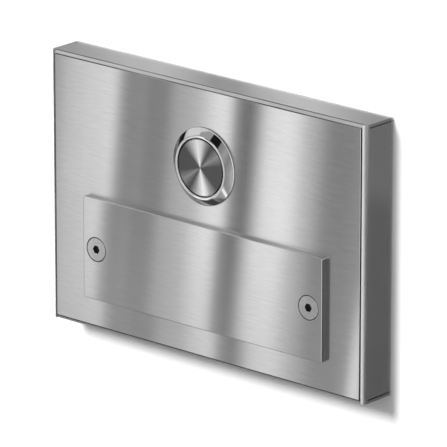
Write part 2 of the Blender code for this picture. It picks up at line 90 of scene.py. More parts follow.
def rounded(points, radius, steps=4, closed=True):
    """Rounds the corners of a flat outline.  A corner between short sides gets a smaller round."""
    count = len(points)
    result = []
    for index in range(count):
        here = Vector(points[index])
        if not closed and index in (0, count - 1):
            result.append(tuple(here))
            continue
        before = Vector(points[index - 1]) - here
        after = Vector(points[(index + 1) % count]) - here
        reach = min(radius, 0.45 * before.length, 0.45 * after.length)
        start = here + before.normalized() * reach
        end = here + after.normalized() * reach
        for step in range(steps + 1):
            t = step / steps
            point = start * (1 - t) ** 2 + here * 2 * t * (1 - t) + end * t * t
            result.append(tuple(point))
    return result


def turned(name, profile, material, steps=160, middle=(0.0, BUTTON_Z), edge=0.12, wobble=None):
    """Turns a profile round an axis along Y.  wobble(radius, y, angle) may move a point."""
    closed = profile[0][0] > 0.0
    profile = rounded(profile, edge, closed=closed)
    shape = bmesh.new()
    rings = []
    for radius, y in profile:
        if radius == 0.0:
            rings.append([shape.verts.new((middle[0], y, middle[1]))])
            continue
        ring = []
        for step in range(steps):
            angle = 2 * math.pi * step / steps
            r, depth = wobble(radius, y, angle) if wobble else (radius, y)
            x = middle[0] + r * math.cos(angle)
            ring.append(shape.verts.new((x, depth, middle[1] + r * math.sin(angle))))
        rings.append(ring)
    pairs = list(zip(rings, rings[1:]))
    if closed:
        pairs.append((rings[-1], rings[0]))
    for first, second in pairs:
        for step in range(steps):
            after = (step + 1) % steps
            corners = [first[step % len(first)], first[after % len(first)]]
            corners += [second[after % len(second)], second[step % len(second)]]
            shape.faces.new(list(dict.fromkeys(corners)))
    return add_object(name, shape, material)


# %% [markdown]
# ## Sheet pieces
# Walls and plates are cut from sheet.  Each is an outline pushed along one axis.  A scaled cube
# would do for a box, but an outline also gives slots, grooves and bent corners in the same way.

# %% Outlines and prisms


def prism_shape(outline, start, end, axis="Y"):
    shape = bmesh.new()

    def point(first, second, along):
        values = [first, second]
        values.insert("XYZ".index(axis), along)
        return values

    near = [shape.verts.new(point(a, b, start)) for a, b in outline]
    far = [shape.verts.new(point(a, b, end)) for a, b in outline]
    shape.faces.new(near)
    shape.faces.new(list(reversed(far)))
    for index in range(len(outline)):
        after = (index + 1) % len(outline)
        shape.faces.new((near[index], far[index], far[after], near[after]))
    return shape


def circle(radius, x=0.0, z=0.0, steps=64):
    turn = 2 * math.pi / steps
    return [(x + radius * math.cos(i * turn), z + radius * math.sin(i * turn)) for i in range(steps)]


def slot_outline(width, height, x, z, steps=12):
    points = []
    for corner in range(2):
        for step in range(steps + 1):
            angle = corner * math.pi + math.pi * step / steps
            level = (height - width) / 2 * (1 - 2 * corner)
            points.append((x + width / 2 * math.cos(angle), z + level + width / 2 * math.sin(angle)))
    return points


def box_outline(half_width, half_height, x=0.0, z=0.0):
    corners = ((1, 1), (-1, 1), (-1, -1), (1, -1))
    return [(x + a * half_width, z + b * half_height) for a, b in corners]


# %% [markdown]
# ## Holes and broken edges
# Holes are cut with Boolean modifiers and the edges are then softened with a Bevel.  Doing it in
# this order gives the rims of the holes a round as well.  The modifiers are applied at once, so
# that each finished piece is a plain mesh.

# %% Cutting and placing


def apply_modifiers(made):
    """Keeps the shape that the modifiers give and drops them."""
    graph = bpy.context.evaluated_depsgraph_get()
    graph.update()
    mesh = bpy.data.meshes.new_from_object(made.evaluated_get(graph))
    made.modifiers.clear()
    old = made.data
    made.data = mesh
    mesh.name = made.name
    bpy.data.meshes.remove(old)
    return made


def cut(made, shapes, edge=0.12, segments=2, flat_from=1e9):
    """Takes the shapes out of the piece and then breaks its sharp edges.

    Faces square to the axes, and those of flat_from square millimetres and more, stay flat.
    """
    cutters = []
    for index, shape in enumerate(shapes):
        cutter = add_object(made.name + "_cutter_" + str(index), shape, None)
        modifier = made.modifiers.new("cut", "BOOLEAN")
        modifier.operation = "DIFFERENCE"
        modifier.solver = "EXACT"
        modifier.object = cutter
        cutters.append(cutter)
    if edge > 0.0:
        soften = made.modifiers.new("edge", "BEVEL")
        soften.width = edge * MM
        soften.segments = segments
        soften.limit_method = "ANGLE"
        soften.angle_limit = math.radians(35)
        soften.use_clamp_overlap = True
        soften.harden_normals = False
    apply_modifiers(made)
    for cutter in cutters:
        bpy.data.objects.remove(cutter)
    made.data.shade_smooth()
    made.data.set_sharp_from_angle(angle=math.radians(30))
    for face in made.data.polygons:
        square = max(abs(value) for value in face.normal) > 0.9999
        if square or face.area / MM**2 > flat_from:
            face.use_smooth = False
    return made


def place(made, nodes, body="panel"):
    """The piece rides on its body and stands for these parts of the model."""
    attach(made, body)
    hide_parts(*nodes)
    print(made.name, len(made.data.polygons), "faces")
    return made


# %% [markdown]
# ## A helper for materials
# Each finish is a small tree of shader nodes.  They could be joined by hand in the Shader Editor.
# Here a class adds them, so that a finish reads as a few lines: noise, ramp, multiply, bump.

# %% Node helper


def fill_ramp(ramp, stops):
    """Puts (position, tone) stops in a colour ramp.  A tone is a number or a colour."""
    elements = ramp.color_ramp.elements
    while len(elements) < len(stops):
        elements.new(0.5)
    for element, (position, tone) in zip(elements, stops):
        element.position = position
        colour = tone if isinstance(tone, tuple) else (tone, tone, tone)
        element.color = (*colour, 1.0)


class Build:
    """Adds nodes to one material and joins them."""

    def __init__(self, name):
        self.material = bpy.data.materials.new(name)
        self.material.use_nodes = True
        self.tree = self.material.node_tree
        self.shader = self.tree.nodes["Principled BSDF"]
        self.coords = self.tree.nodes.new("ShaderNodeTexCoord").outputs["Object"]

    def node(self, kind, **settings):
        made = self.tree.nodes.new(kind)
        for key, value in settings.items():
            setattr(made, key, value)
        return made

    def link(self, source, target):
        self.tree.links.new(source, target)

    def noise(self, scale, detail=4.0, rough=0.6, source=None):
        mapping = self.node("ShaderNodeMapping")
        mapping.inputs["Scale"].default_value = scale
        self.link(source or self.coords, mapping.inputs["Vector"])
        made = self.node("ShaderNodeTexNoise")
        made.inputs["Scale"].default_value = 1.0
        made.inputs["Detail"].default_value = detail
        made.inputs["Roughness"].default_value = rough
        self.link(mapping.outputs["Vector"], made.inputs["Vector"])
        return made.outputs["Fac"]

    def ramp(self, factor, stops):
        made = self.node("ShaderNodeValToRGB")
        fill_ramp(made, stops)
        self.link(factor, made.inputs["Fac"])
        return made.outputs["Color"]

    def span(self, value, low, high, start=0.0, end=1.0):
        """Goes from low to high while the value goes from start to end, and stays there."""
        made = self.node("ShaderNodeMapRange")
        made.inputs["From Min"].default_value = start
        made.inputs["From Max"].default_value = end
        made.inputs["To Min"].default_value = low
        made.inputs["To Max"].default_value = high
        self.link(value, made.inputs["Value"])
        return made.outputs["Result"]

    def maths(self, operation, *values):
        made = self.node("ShaderNodeMath", operation=operation)
        for socket, value in zip(made.inputs, values):
            if isinstance(value, float):
                socket.default_value = value
            else:
                self.link(value, socket)
        return made.outputs["Value"]

    def part(self, vector, axis):
        made = self.node("ShaderNodeSeparateXYZ")
        self.link(vector, made.inputs["Vector"])
        return made.outputs[axis]

    def multiply(self, first, second):
        made = self.node("ShaderNodeMix", data_type="RGBA", blend_type="MULTIPLY")
        made.inputs["Factor"].default_value = 1.0
        self.link(first, made.inputs["A"])
        self.link(second, made.inputs["B"])
        return made.outputs["Result"]

    def bump(self, height, strength, distance):
        made = self.node("ShaderNodeBump")
        made.inputs["Strength"].default_value = strength
        made.inputs["Distance"].default_value = distance
        self.link(height, made.inputs["Height"])
        return made.outputs["Normal"]

    def set(self, **values):
        for key, value in values.items():
            self.shader.inputs[key.replace("_", " ")].default_value = value


# %% [markdown]
# ## Brushed steel
# Brushed sheet is thousands of fine scratches that all run one way.  They spread a reflection across
# the grain and leave it sharp along it, so the shader's anisotropy follows the grain.  A streaky
# noise, long with the grain and short across it, changes the tone a little and lifts the scratches.
# A picture of scratches could do it too, but noise has no seams and works at any size.

# %% Brushed steel


def across(build, grain):
    """The direction across the grain, in the surface."""
    normal = build.node("ShaderNodeNewGeometry").outputs["Normal"]
    cross = build.node("ShaderNodeVectorMath", operation="CROSS_PRODUCT")
    build.link(normal, cross.inputs[0])
    cross.inputs[1].default_value = grain
    build.link(cross.outputs["Vector"], build.shader.inputs["Tangent"])


# The grain never points quite along an axis, so that an end face still has a direction across it.
OFF_AXIS = (0.011, 0.013, 0.017)
SCRATCH_DEPTH = 0.00002


def brushed(name, grain, tone=0.60, rough=(0.18, 0.21), scratch=0.03, along=160.0, fine=9000.0):
    """Sheet steel with its grain along X, Y or Z."""
    build = Build(name)
    scale = [fine, fine, fine]
    scale["XYZ".index(grain)] = along
    streaks = build.noise(tuple(scale), detail=3.0, rough=0.7)
    broad_scale = [2600.0, 2600.0, 2600.0]
    broad_scale["XYZ".index(grain)] = along / 2
    broad = build.noise(tuple(broad_scale), detail=2.0)
    wear = build.noise((38.0, 38.0, 38.0), detail=5.0)
    fine_tone = build.ramp(streaks, [(0.25, tone * 0.90), (0.5, tone), (0.75, tone * 1.09)])
    broad_tone = build.ramp(broad, [(0.3, 0.95), (0.7, 1.0)])
    wear_tone = build.ramp(wear, [(0.35, (0.955, 0.955, 0.96)), (0.65, (1.0, 1.0, 1.0))])
    toned = build.multiply(fine_tone, broad_tone)
    toned = build.multiply(toned, wear_tone)
    build.link(toned, build.shader.inputs["Base Color"])
    build.link(build.span(broad, rough[0], rough[1]), build.shader.inputs["Roughness"])
    build.link(build.bump(streaks, scratch, SCRATCH_DEPTH), build.shader.inputs["Normal"])
    build.set(Metallic=1.0, Anisotropic=1.0)
    direction = list(OFF_AXIS)
    direction["XYZ".index(grain)] = 1.0
    across(build, tuple(direction))
    return build.material


# %% [markdown]
# ## Turned steel
# The face of the button carries scratches in rings.  Each lamp or window in a room shows on such a
# face as two fans of light, one opposite the other.  Anisotropy round the middle gives them only
# weakly in soft light, so two pairs of fans are also painted into the tone.  Being tone, they stay
# where they are when the panel is seen from elsewhere, which real ones don't.

# %% Turned steel


def around_button(build):
    """The place of a point seen from the button's middle, flat in the panel's plane."""
    shift = build.node("ShaderNodeVectorMath", operation="SUBTRACT")
    shift.inputs[1].default_value = (0.0, 0.0, BUTTON_Z * MM)
    build.link(build.coords, shift.inputs[0])
    flat = build.node("ShaderNodeVectorMath", operation="MULTIPLY")
    flat.inputs[1].default_value = (1.0, 0.0, 1.0)
    build.link(shift.outputs["Vector"], flat.inputs[0])
    return flat.outputs["Vector"]


# A painted fan of sheen is (middle, half width, tone), with its turn in degrees from +X towards +Z.
FANS = ((35.0, 20.0, 0.35), (100.0, 40.0, 0.85))
BETWEEN_FANS = 0.12


def painted_fan_stops():
    """The painted sheen at each share of a turn round the button, starting at minus 180 degrees."""
    tones = {-180.0: BETWEEN_FANS, 180.0: BETWEEN_FANS}
    for middle, half_width, tone in FANS:
        for turn in (middle - 180.0, middle):
            tones[turn - half_width] = BETWEEN_FANS
            tones[turn] = tone
            tones[turn + half_width] = BETWEEN_FANS
    return [((turn + 180.0) / 360.0, tone) for turn, tone in sorted(tones.items())]


def spun(name, rough=(0.20, 0.28)):
    """Steel faced on a lathe: the scratches are rings, and a sheen in sectors is painted into its
    tone.
    """
    build = Build(name)
    flat = around_button(build)
    length = build.node("ShaderNodeVectorMath", operation="LENGTH")
    build.link(flat, length.inputs[0])
    rings = build.noise((7000.0, 7000.0, 7000.0), detail=3.0, source=length.outputs["Value"])
    wear = build.noise((240.0, 240.0, 240.0), detail=4.0)
    angle = build.maths("ARCTAN2", build.part(flat, "Z"), build.part(flat, "X"))
    turn = build.span(angle, 0.0, 1.0, -math.pi, math.pi)
    # Painted sheen: fans of light in the tone, fixed round the button.
    sheen = build.ramp(turn, painted_fan_stops())
    fine_tone = build.ramp(rings, [(0.3, 0.84), (0.7, 1.0)])
    wear_tone = build.ramp(wear, [(0.35, 0.94), (0.65, 1.0)])
    worn = build.multiply(fine_tone, wear_tone)
    build.link(build.multiply(sheen, worn), build.shader.inputs["Base Color"])
    build.link(build.span(rings, rough[0], rough[1]), build.shader.inputs["Roughness"])
    build.link(build.bump(rings, 0.08, SCRATCH_DEPTH), build.shader.inputs["Normal"])
    build.link(flat, build.shader.inputs["Tangent"])
    build.set(Metallic=1.0, Anisotropic=1.0)
    return build.material


# %% [markdown]
# ## Plain metal, plastic and rubber
# Polished, plated and moulded surfaces have no grain.  One even colour would look like a drawing, so
# a fine mottle changes the tone and a broad one the roughness, as handling does.

# %% Plain metal, plastic and rubber


def plain_metal(name, colour, rough, speckle=900.0, change=0.10, lift=0.05):
    """Metal with no grain: a fine mottle in tone and roughness."""
    build = Build(name)
    mottle = build.noise((speckle, speckle, speckle), detail=5.0)
    wear = build.noise((120.0, 120.0, 120.0), detail=4.0)
    low = tuple(c * (1 - change) for c in colour)
    high = tuple(min(c * (1 + change / 2), 1.0) for c in colour)
    mottled = build.ramp(mottle, [(0.3, low), (0.7, high)])
    toned = build.multiply(mottled, build.ramp(wear, [(0.35, 0.92), (0.65, 1.0)]))
    build.link(toned, build.shader.inputs["Base Color"])
    build.link(build.span(wear, rough[0], rough[1]), build.shader.inputs["Roughness"])
    build.link(build.bump(mottle, lift, 0.00003), build.shader.inputs["Normal"])
    build.set(Metallic=1.0)
    return build.material


def moulded(name, colour, rough, lift=0.12, speckle=2600.0):
    """Plastic or rubber: a fine moulded texture and a faint change of tone."""
    build = Build(name)
    texture = build.noise((speckle, speckle, speckle), detail=3.0)
    patches = build.noise((150.0, 150.0, 150.0), detail=4.0)
    low = tuple(c * 0.82 for c in colour)
    high = tuple(min(c * 1.15, 1.0) for c in colour)
    build.link(build.ramp(patches, [(0.35, low), (0.65, high)]), build.shader.inputs["Base Color"])
    build.link(build.span(patches, rough[0], rough[1]), build.shader.inputs["Roughness"])
    build.link(build.bump(texture, lift, 0.00005), build.shader.inputs["Normal"])
    return build.material


# %% [markdown]
# ## The finishes of this panel
# The front, the top and the bottom have their grain across, the two sides upright, as they were cut.
# Insides of holes and grooves get little light, so painted shade makes them darker.

# %% Finishes
STEEL_X = brushed("brushed steel, grain along x", "X")
STEEL_Z = brushed("brushed steel, grain along z", "Z", tone=0.62, rough=(0.22, 0.28))
SPUN = spun("spun steel with painted fans")
# Painted shade: the insides of grooves, countersinks and screw sockets get this dark tone.
RECESS_SHADE = plain_metal("painted recess shade", (0.10, 0.10, 0.10), (0.45, 0.60))
# The left and right ends of the name plate: a duller cut finish, with painted shade on top of it.
SHEARED_AND_SHADED = plain_metal("sheared edge with painted shade", (0.19, 0.19, 0.19), (0.40, 0.55))
POLISHED = plain_metal("polished steel", (0.70, 0.70, 0.70), (0.05, 0.09), change=0.04, lift=0.01)
SCREW = plain_metal("turned screw steel", (0.60, 0.60, 0.60), (0.20, 0.30), change=0.08, lift=0.03)
ZINC = plain_metal("zinc plate", (0.60, 0.61, 0.62), (0.30, 0.45), speckle=500.0, change=0.16)
SPRING = plain_metal("spring steel", (0.42, 0.42, 0.43), (0.25, 0.38))
BRASS = plain_metal("brass", (0.80, 0.60, 0.28), (0.22, 0.36), change=0.12)
RUBBER = moulded("black rubber", (0.022, 0.022, 0.023), (0.70, 0.85))
PLASTIC = moulded("black plastic", (0.045, 0.045, 0.050), (0.42, 0.55))
PALE = moulded("pale plastic", (0.72, 0.71, 0.66), (0.38, 0.50))
print("finishes", len(bpy.data.materials))

# %% [markdown]
# ## Sides of the housing
# The two sides are bent round at the front and cut back at their ends, where the flat strips close
# over them.  A bevelled box could give the bend, but the arc in the outline keeps the sheet's
# thickness even.  The joints show only as a thin dark line.

# %% Side walls
SIDE_SHEET = 1.5
BEND = 2.0
BEND_STEPS = 16
END_CUT = 1.32


def side_wall(name, side):
    outer = WIDTH / 2
    inner = outer - SIDE_SHEET
    arc = []
    first = -math.acos((BEND - SIDE_SHEET) / BEND)
    for step in range(BEND_STEPS + 1):
        angle = first * (1 - step / BEND_STEPS)
        x = outer - BEND + BEND * math.cos(angle)
        arc.append((x, FRONT + BEND + BEND * math.sin(angle)))
    outline = [(inner, 0.0), (inner, arc[0][1] + 0.12)] + arc + [(outer, 0.0)]
    outline = [(side * x, y) for x, y in outline]
    wall = add_object(name, prism_shape(outline, -HEIGHT / 2, HEIGHT / 2, "Z"), STEEL_Z)
    shoulder = HEIGHT / 2 - END_CUT
    ends = []
    for level in (-1, 1):
        low, high = sorted((level * shoulder, level * (HEIGHT / 2 + 1)))
        low_x, high_x = sorted((side * (outer - 3), side * (outer + 1)))
        outline = [(low_x, low), (high_x, low), (high_x, high), (low_x, high)]
        ends.append(prism_shape(outline, FRONT + BEND, 1.0))
    cut(wall, ends, edge=0.06)
    return place(wall, [name])


side_wall("left_side_wall", -1)
side_wall("right_side_wall", 1)

# %% [markdown]
# ## Top and bottom
# A flat strip closes the housing above and below.  A shallow groove runs along it just behind the
# front, and it is part of the outline, so no second cut is needed.  Both ends are notched where
# the bent sides come round.

# %% Top and bottom walls
STRIP_SHEET = 1.0
GROOVE_START, GROOVE_END = 0.75, 1.22
GROOVE_DEPTH = 0.4
GROOVE_TAPER = 0.02
NOTCH_X = 1.52
NOTCH_Y = 2.04
LARGE_FACE = 40.0


def flat_wall(name, level):
    outer = level * HEIGHT / 2
    inner = level * (HEIGHT / 2 - STRIP_SHEET)
    floor = outer - GROOVE_DEPTH * level
    outline = [(FRONT, inner), (0.0, inner), (0.0, outer), (FRONT + GROOVE_END, outer)]
    outline += [(FRONT + GROOVE_END - GROOVE_TAPER, floor)]
    outline += [(FRONT + GROOVE_START + GROOVE_TAPER, floor), (FRONT + GROOVE_START, outer)]
    wall = add_object(name, prism_shape(outline, -WIDTH / 2, WIDTH / 2, "X"), STEEL_X)
    notches = []
    for side in (-1, 1):
        low_x, high_x = sorted((side * (WIDTH / 2 - NOTCH_X), side * (WIDTH / 2 + 1)))
        low, high = sorted((inner - level, outer + level))
        outline = [(low_x, low), (high_x, low), (high_x, high), (low_x, high)]
        notches.append(prism_shape(outline, FRONT - 1, FRONT + NOTCH_Y))
    cut(wall, notches, edge=0.12, flat_from=LARGE_FACE)
    # Painted shade: the faces inside the groove get the recess shade tone.
    wall.data.materials.append(RECESS_SHADE)
    for face in wall.data.polygons:
        depth = face.center.y / MM - FRONT
        in_groove = GROOVE_START - 0.01 < depth < GROOVE_END + 0.01
        if in_groove and abs(face.center.z) < (HEIGHT / 2 - 0.06) * MM:
            face.material_index = len(wall.data.materials) - 1
    return place(wall, [name])


flat_wall("top_wall", 1)
flat_wall("bottom_wall", -1)

# %% [markdown]
# ## Front plate
# The front plate lies inside the housing with a thin gap all round.  It is brushed sheet with three
# holes, and its edges are broken by hand, so they get a small round.

# %% Front plate
PLATE_SHEET = 1.5
GAP_X = 0.42
GAP_Z = 0.15
PLATE_X = -0.08
BUTTON_HOLE = 11.3
SCREW_HOLE = 2.4


def front_plate():
    half_width = WIDTH / 2 - SIDE_SHEET - GAP_X
    half_height = HEIGHT / 2 - STRIP_SHEET - GAP_Z
    shape = prism_shape(box_outline(half_width, half_height, PLATE_X), FRONT, FRONT + PLATE_SHEET)
    plate = add_object("front_plate", shape, STEEL_X)
    holes = [prism_shape(circle(BUTTON_HOLE, 0.0, BUTTON_Z), FRONT - 1, FRONT + 3)]
    for side in (-1, 1):
        outline = circle(SCREW_HOLE, side * SCREW_X, NAME_Z, 32)
        holes.append(prism_shape(outline, FRONT - 1, FRONT + 3))
    cut(plate, holes, edge=0.16)
    return place(plate, ["front_plate"])


front_plate()

# %% [markdown]
# ## Name plate
# The name plate lies flat on the front plate and is held by a sunk screw at each end.  The cone for
# the screw head could be a thin Boolean cone from the menu, but rings at the right radii keep its
# rim true.  The cones get painted shade.  The cut ends at left and right are darker than the face:
# a duller cut finish, with painted shade on top of it.

# %% Name plate
NAME_HALF_WIDTH = 50.0
NAME_HALF_HEIGHT = 17.0
NAME_CORNER = 0.7
SINK_ROWS = ((4.30, NAME_FRONT - 0.22), (2.2, FRONT + 0.3))
SINK_STEPS = 64


def paint_shade_inside(made, middle, radius, front):
    """Paints shade, with the recess shade tone, on the faces round the middle that lie behind the
    front face.
    """
    made.data.materials.append(RECESS_SHADE)
    for face in made.data.polygons:
        x = face.center.x / MM - middle[0]
        z = face.center.z / MM - middle[1]
        if math.hypot(x, z) < radius and face.center.y / MM > front + 0.03:
            face.material_index = len(made.data.materials) - 1


def screw_sink(side):
    """The cone that is cut for a screw head."""
    sink = bmesh.new()
    rings = []
    for radius, y in SINK_ROWS:
        points = circle(radius, side * SCREW_X, NAME_Z, SINK_STEPS)
        rings.append([sink.verts.new((x, y, z)) for x, z in points])
    front, back = rings
    for index in range(SINK_STEPS):
        after = (index + 1) % SINK_STEPS
        sink.faces.new((front[index], front[after], back[after], back[index]))
    sink.faces.new(front)
    sink.faces.new(list(reversed(back)))
    return sink


def name_plate():
    outline = rounded(box_outline(NAME_HALF_WIDTH, NAME_HALF_HEIGHT, 0.0, NAME_Z), NAME_CORNER)
    plate = add_object("name_plate", prism_shape(outline, NAME_FRONT, FRONT - 0.02), STEEL_X)
    cut(plate, [], edge=0.26, segments=4)
    cut(plate, [screw_sink(side) for side in (-1, 1)], edge=0.07)
    for side in (-1, 1):
        paint_shade_inside(plate, (side * SCREW_X, NAME_Z), 4.25, NAME_FRONT)
    # Painted shade on a duller cut finish: only the ends at left and right get the dark tone.
    plate.data.materials.append(SHEARED_AND_SHADED)
    for face in plate.data.polygons:
        if abs(face.normal.x) > 0.95:
            face.material_index = len(plate.data.materials) - 1
    return place(plate, ["name_plate"])


name_plate()

# %% [markdown]
# ## Geometry Nodes
# Threads and the spring follow a rule, so Geometry Nodes make them.  The class below starts a tree
# with named inputs for the sizes and ends it with real mesh and a material.  The result is kept as a
# plain mesh, because a piece has to stand without its modifier.

# %% Geometry Nodes helper


class PieceTree:
    """A Geometry Nodes group with named inputs for its sizes."""

    def __init__(self, name, sizes):
        self.sizes = sizes
        self.group = bpy.data.node_groups.new(name, "GeometryNodeTree")
        sockets = self.group.interface
        for way in ("INPUT", "OUTPUT"):
            sockets.new_socket("Geometry", in_out=way, socket_type="NodeSocketGeometry")
        self.identifiers = {}
        for label, size in sizes.items():
            kind = "NodeSocketInt" if isinstance(size, int) else "NodeSocketFloat"
            socket = sockets.new_socket(label, in_out="INPUT", socket_type=kind)
            socket.default_value = size
            self.identifiers[label] = socket.identifier
        self.input = self.group.nodes.new("NodeGroupInput").outputs

    def node(self, kind, **values):
        """Adds a node.  Each value is an output to join to that input, or what it is set to."""
        made = self.group.nodes.new(kind)
        for key, value in values.items():
            socket = made.inputs[key.replace("_", " ")]
            if isinstance(value, bpy.types.NodeSocket):
                self.group.links.new(value, socket)
            else:
                socket.default_value = value
        return made.outputs[0] if made.outputs else made

    def piece(self, name, mesh, material):
        """Ends the tree, runs it as a modifier and keeps the mesh that comes out."""
        real = self.node("GeometryNodeRealizeInstances", Geometry=mesh)
        painted = self.node("GeometryNodeSetMaterial", Geometry=real, Material=material)
        self.node("NodeGroupOutput", Geometry=painted)
        made = bpy.data.objects.new(name, bpy.data.meshes.new(name))
        bpy.context.scene.collection.objects.link(made)
        modifier = made.modifiers.new(self.group.name, "NODES")
        modifier.node_group = self.group
        for label, size in self.sizes.items():
            modifier[self.identifiers[label]] = size
        apply_modifiers(made)
        made.data.shade_smooth()
        return made


# %% [markdown]
# ## Threads
# A thread seen from the side is a row of pointed ridges.  A helix would be truer, but nobody can
# tell the two apart at this size, and rings close without an end.

# %% Ridge rows


def ridge_rows(name, radius, depth, start, end, pitch, middle, material, steps=48):
    """Rings of a pointed profile repeated along Y."""
    sizes = {
        "Radius": radius * MM,
        "Depth": depth * MM,
        "Pitch": pitch * MM,
        "Start": start * MM,
        "Rows": int((end - start) / pitch),
    }
    tree = PieceTree(name, sizes)
    size = tree.input
    begin = tree.node("ShaderNodeCombineXYZ", X=middle[0] * MM, Y=size["Start"], Z=middle[1] * MM)
    offset = tree.node("ShaderNodeCombineXYZ", Y=size["Pitch"])
    line = tree.node(
        "GeometryNodeMeshLine", Count=size["Rows"], Start_Location=begin, Offset=offset
    )
    ring = tree.node("GeometryNodeCurvePrimitiveCircle", Resolution=steps, Radius=size["Radius"])
    section = tree.node("GeometryNodeCurvePrimitiveCircle", Resolution=4, Radius=size["Depth"])
    swept = tree.node("GeometryNodeCurveToMesh", Curve=ring, Profile_Curve=section)
    across_turn = (math.pi / 2, 0.0, 0.0)
    copies = tree.node(
        "GeometryNodeInstanceOnPoints", Points=line, Instance=swept, Rotation=across_turn
    )
    made = tree.piece(name, copies, material)
    made.data.set_sharp_from_angle(angle=math.radians(30))
    return made


# %% [markdown]
# ## Name plate screws
# Countersunk machine screws with a hexagon socket.  The head is turned from a profile, the socket is
# cut with a six-sided prism, and the thread is a row of ridges on the shank.

# %% Screws


def name_screw(end, side):
    middle = (side * SCREW_X, NAME_Z)
    head = 3.87
    shank = 2.0
    neck = NAME_FRONT + head - shank
    tip = NAME_FRONT + 8.2
    profile = [(0.0, NAME_FRONT), (head - 0.10, NAME_FRONT), (head, NAME_FRONT + 0.10)]
    profile += [(shank, neck), (shank - 0.25, neck + 0.3), (shank - 0.25, tip - 0.3)]
    profile += [(shank - 0.6, tip), (0.0, tip)]
    screw = turned("name_plate_screw_" + end, profile, SCREW, 96, middle, edge=0.08)
    socket = circle(1.25 / math.cos(math.pi / 6), *middle, 6)
    cut(screw, [prism_shape(socket, NAME_FRONT - 1, NAME_FRONT + 1.6)], edge=0.06)
    # Painted shade in the hexagon socket.
    paint_shade_inside(screw, middle, 1.46, NAME_FRONT)
    place(screw, ["name_plate_screw_" + end])
    name = "screw_thread_" + end
    thread = ridge_rows(name, shank - 0.24, 0.22, neck + 0.6, tip - 0.4, 0.7, middle, SCREW)
    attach(thread, "panel")


name_screw("left", -1)
name_screw("right", 1)

# %% [markdown]
# ## Bezel and barrel
# The bezel is turned and polished: a narrow flat lip round the cap, a straight cone down to the
# plate and a short upright rim.  Behind the plate it goes on as a threaded barrel.  All of it is one
# closed profile, because it is one piece of metal.

# %% Bezel and barrel


def button_housing():
    lip = FRONT - 2.3
    seat = FRONT - 0.05
    profile = [
        (9.5, lip + 0.25),
        (9.72, lip),
        (10.30, lip),
        (12.55, seat - 0.62),
        (12.7, seat - 0.45),
        (12.7, seat),
        (12.05, seat),
        (12.05, seat - 0.7),
        (11.3, seat - 0.7),
        (11.3, seat),
        (11.0, seat),
        (11.0, -11.0),
        (10.72, -10.8),
        (10.72, -5.2),
        (10.5, -5.0),
        (9.5, -5.0),
        (9.5, -7.2),
        (2.1, -7.2),
        (2.1, -8.2),
        (9.5, -8.2),
    ]
    housing = turned("button_housing", profile, POLISHED, 224, edge=0.22)
    place(housing, ["button_housing"])
    middle = (0.0, BUTTON_Z)
    thread = ridge_rows("barrel_thread", 10.74, 0.25, -10.2, -5.4, 0.8, middle, POLISHED, 96)
    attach(thread, "panel")


button_housing()

# %% [markdown]
# ## Cap and seals
# The cap is faced on the lathe and so carries circular scratches.  A groove in its side holds a
# rubber ring, and a second ring lies under the flange of the bezel.  Both rings are a round section
# turned like the rest.  A torus from the menu would do as well, but would lie the other way round.

# %% Cap and seals
CAP_FRONT = FRONT - 2.1
SECTION_STEPS = 20


def button_cap():
    front = CAP_FRONT
    profile = [(0.0, front), (9.03, front), (9.15, front + 0.15), (9.15, front + 0.6)]
    profile += [(8.25, front + 0.6), (8.25, front + 1.6), (9.15, front + 1.6)]
    profile += [(9.15, front + 2.0), (0.0, front + 2.0)]
    cap = turned("button_cap", profile, SPUN, 192, edge=0.10)
    return place(cap, ["button_cap"], "button")


def seal_ring(name, radius, y, section, body):
    profile = circle(section, radius, y, SECTION_STEPS)
    ring = turned(name, profile, RUBBER, 128, edge=0.0)
    return place(ring, [name], body)


button_cap()
seal_ring("cap_seal", 8.85, CAP_FRONT + 1.1, 0.3, "button")
seal_ring("flange_seal", 11.65, FRONT - 0.55, 0.2, "panel")

# %% [markdown]
# ## Nut and washer
# Behind the plate a flat hexagon nut and a toothed washer hold the barrel.  The nut is a six-sided
# prism with a hole.  The teeth come from the lathe helper, which pulls every other stretch inwards.

# %% Nut and washer
NUT_HALF = 13.5
TEETH = 20
TOOTH = 0.9


def fixing_nut():
    outline = circle(NUT_HALF / math.cos(math.pi / 6), 0.0, BUTTON_Z, 6)
    nut = add_object("fixing_nut", prism_shape(outline, -10.3, -7.3), ZINC)
    hole = prism_shape(circle(BUTTON_HOLE, 0.0, BUTTON_Z, 96), -12.0, -6.0)
    cut(nut, [hole], edge=0.35, segments=3)
    return place(nut, ["fixing_nut"])


def lock_washer():
    def teeth(radius, y, angle):
        if radius > 13.0:
            radius -= TOOTH * (0.5 + 0.5 * math.copysign(1.0, math.sin(angle * TEETH)))
        return radius, y

    profile = [(11.3, -11.2), (14.5, -11.2), (14.5, -10.6), (11.3, -10.6)]
    washer = turned("lock_washer", profile, ZINC, 240, edge=0.05, wobble=teeth)
    return place(washer, ["lock_washer"])


fixing_nut()
lock_washer()

# %% [markdown]
# ## Return spring
# A coil of round wire pushes the cap out again.  Geometry Nodes sweep a circle along a spiral, whose
# turns and height are inputs.

# %% Return spring
SPRING_FRONT, SPRING_BACK = -11.7, -8.5
WIRE = 0.22
COIL = 3.0
COIL_TURNS = 3.5


